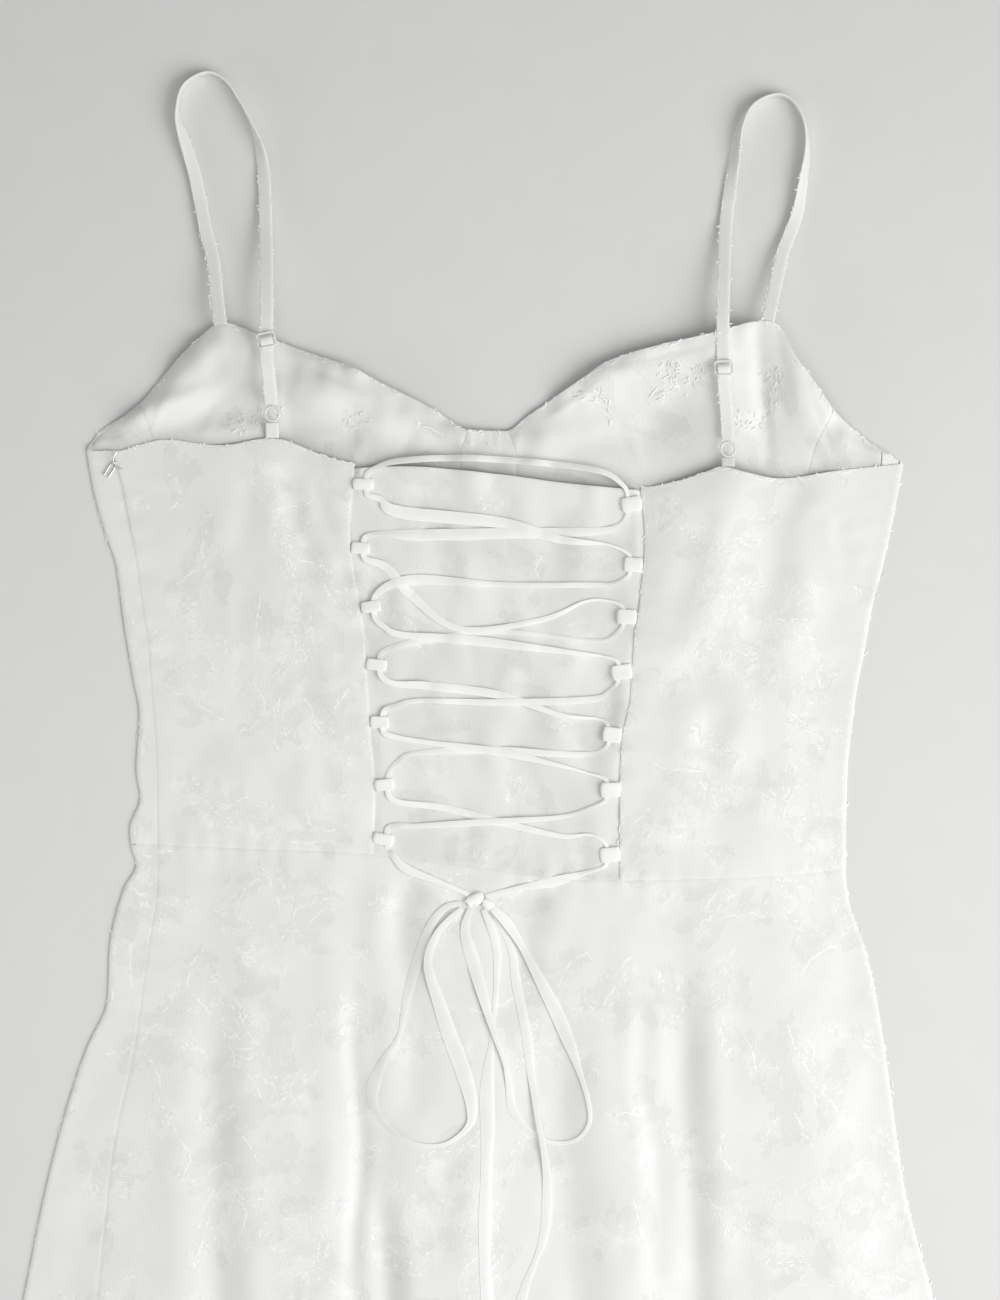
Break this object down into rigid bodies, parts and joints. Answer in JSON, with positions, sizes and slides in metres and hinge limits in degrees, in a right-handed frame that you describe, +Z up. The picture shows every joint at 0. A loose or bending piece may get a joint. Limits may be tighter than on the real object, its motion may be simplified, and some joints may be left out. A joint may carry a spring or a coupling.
{
  "type": "dress",
  "caption": "Sleeveless midi dress laid flat on its front, with thin adjustable straps, a corset-laced open back over a modesty panel, a bow at the waist and a long flared skirt.",
  "frame": {"origin": "middle of the dress's outline, on the surface it lies on", "axes": "+X across the dress to the right as seen from above, +Y from the hem to the straps, +Z up from the surface, out of the dress's back"},
  "size_m": [0.6914, 1.1758, 0.0173],
  "materials": {
    "front_side_left": "white jacquard, lined",
    "front_cup_left": "white jacquard, lined",
    "front_bridge": "white jacquard, lined",
    "front_cup_right": "white jacquard, lined",
    "front_side_right": "white jacquard, lined",
    "back_left": "white jacquard, lined",
    "back_right": "white jacquard, lined",
    "lacing_panel": "white jacquard, lined",
    "skirt_front": "white jacquard, lined",
    "skirt_back": "white jacquard, lined",
    "straps": "white self-fabric strip",
    "slider": "white-coated",
    "ring": "white-coated wire",
    "loops": "white satin",
    "lace": "white satin",
    "bow": "white satin",
    "hook": "bent nickel-coloured wire"
  },
  "bodies": {
    "root": {"front_side_left": "front_side_left", "front_cup_left": "front_cup_left", "front_bridge": "front_bridge", "front_cup_right": "front_cup_right", "front_side_right": "front_side_right", "back_left": "back_left", "back_right": "back_right", "lacing_panel": "lacing_panel", "skirt_front": "skirt_front", "skirt_back": "skirt_back", "strap_left": "straps", "strap_right": "straps", "strap_tab_left": "straps", "strap_tab_right": "straps", "strap_slider_left": "slider", "strap_slider_right": "slider", "strap_ring_left": "ring", "strap_ring_right": "ring", "loop_left_1": "loops", "loop_left_2": "loops", "loop_left_3": "loops", "loop_left_4": "loops", "loop_left_5": "loops", "loop_left_6": "loops", "loop_left_7": "loops", "loop_right_1": "loops", "loop_right_2": "loops", "loop_right_3": "loops", "loop_right_4": "loops", "loop_right_5": "loops", "loop_right_6": "loops", "loop_right_7": "loops", "lace_first": "lace", "lace_second": "lace", "bow_knot": "bow", "bow_loop_left": "bow", "bow_loop_right": "bow", "bow_tail_left": "bow", "bow_tail_right": "bow", "side_hook": "hook", "side_eye": "hook"}
  },
  "joints": []
}
